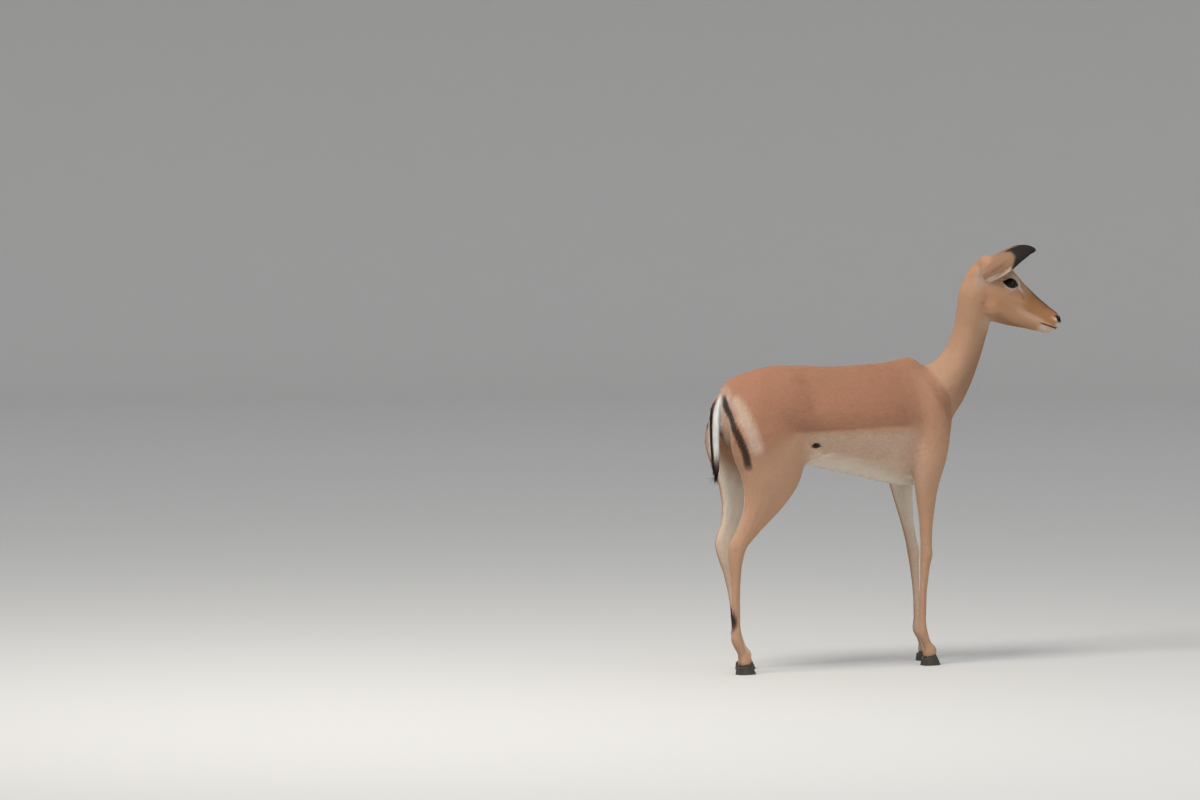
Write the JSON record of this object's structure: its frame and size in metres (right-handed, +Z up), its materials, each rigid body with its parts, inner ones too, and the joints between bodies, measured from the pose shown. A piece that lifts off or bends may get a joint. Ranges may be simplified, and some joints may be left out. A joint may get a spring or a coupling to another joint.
{
  "type": "impala ewe model",
  "caption": "Life-size still model of a hornless impala ewe, standing alert with its neck up and its head turned to its right.",
  "frame": {"origin": "on the floor, under the middle of the whole model's box", "axes": "+X from tail to chest, +Y to the animal's left, +Z up"},
  "size_m": [0.979, 0.3274, 1.1245],
  "materials": {
    "coat_saddle": "short flat fur, reddish brown over the back, fawn flanks and white belly",
    "coat_fawn": "short flat fur, orange tan",
    "coat_leg": "short flat fur, fawn, paler inside the leg",
    "coat_ear": "short fur, tan with a black tip",
    "coat_tail": "longer fur, white with a black middle line",
    "hoof_horn": "dark horn, satin",
    "eye": "wet, very dark brown"
  },
  "bodies": {
    "root": {"trunk": "coat_saddle", "neck": "coat_fawn", "head": "coat_fawn", "tail": "coat_tail", "foreleg_left": "coat_leg", "foreleg_right": "coat_leg", "hindleg_left": "coat_leg", "hindleg_right": "coat_leg", "hoof_foreleg_left_outer": "hoof_horn", "hoof_foreleg_left_inner": "hoof_horn", "hoof_foreleg_right_outer": "hoof_horn", "hoof_foreleg_right_inner": "hoof_horn", "hoof_hindleg_left_outer": "hoof_horn", "hoof_hindleg_left_inner": "hoof_horn", "hoof_hindleg_right_outer": "hoof_horn", "hoof_hindleg_right_inner": "hoof_horn", "ear_left": "coat_ear", "ear_right": "coat_ear", "eye_left": "eye", "eye_right": "eye"}
  },
  "joints": []
}
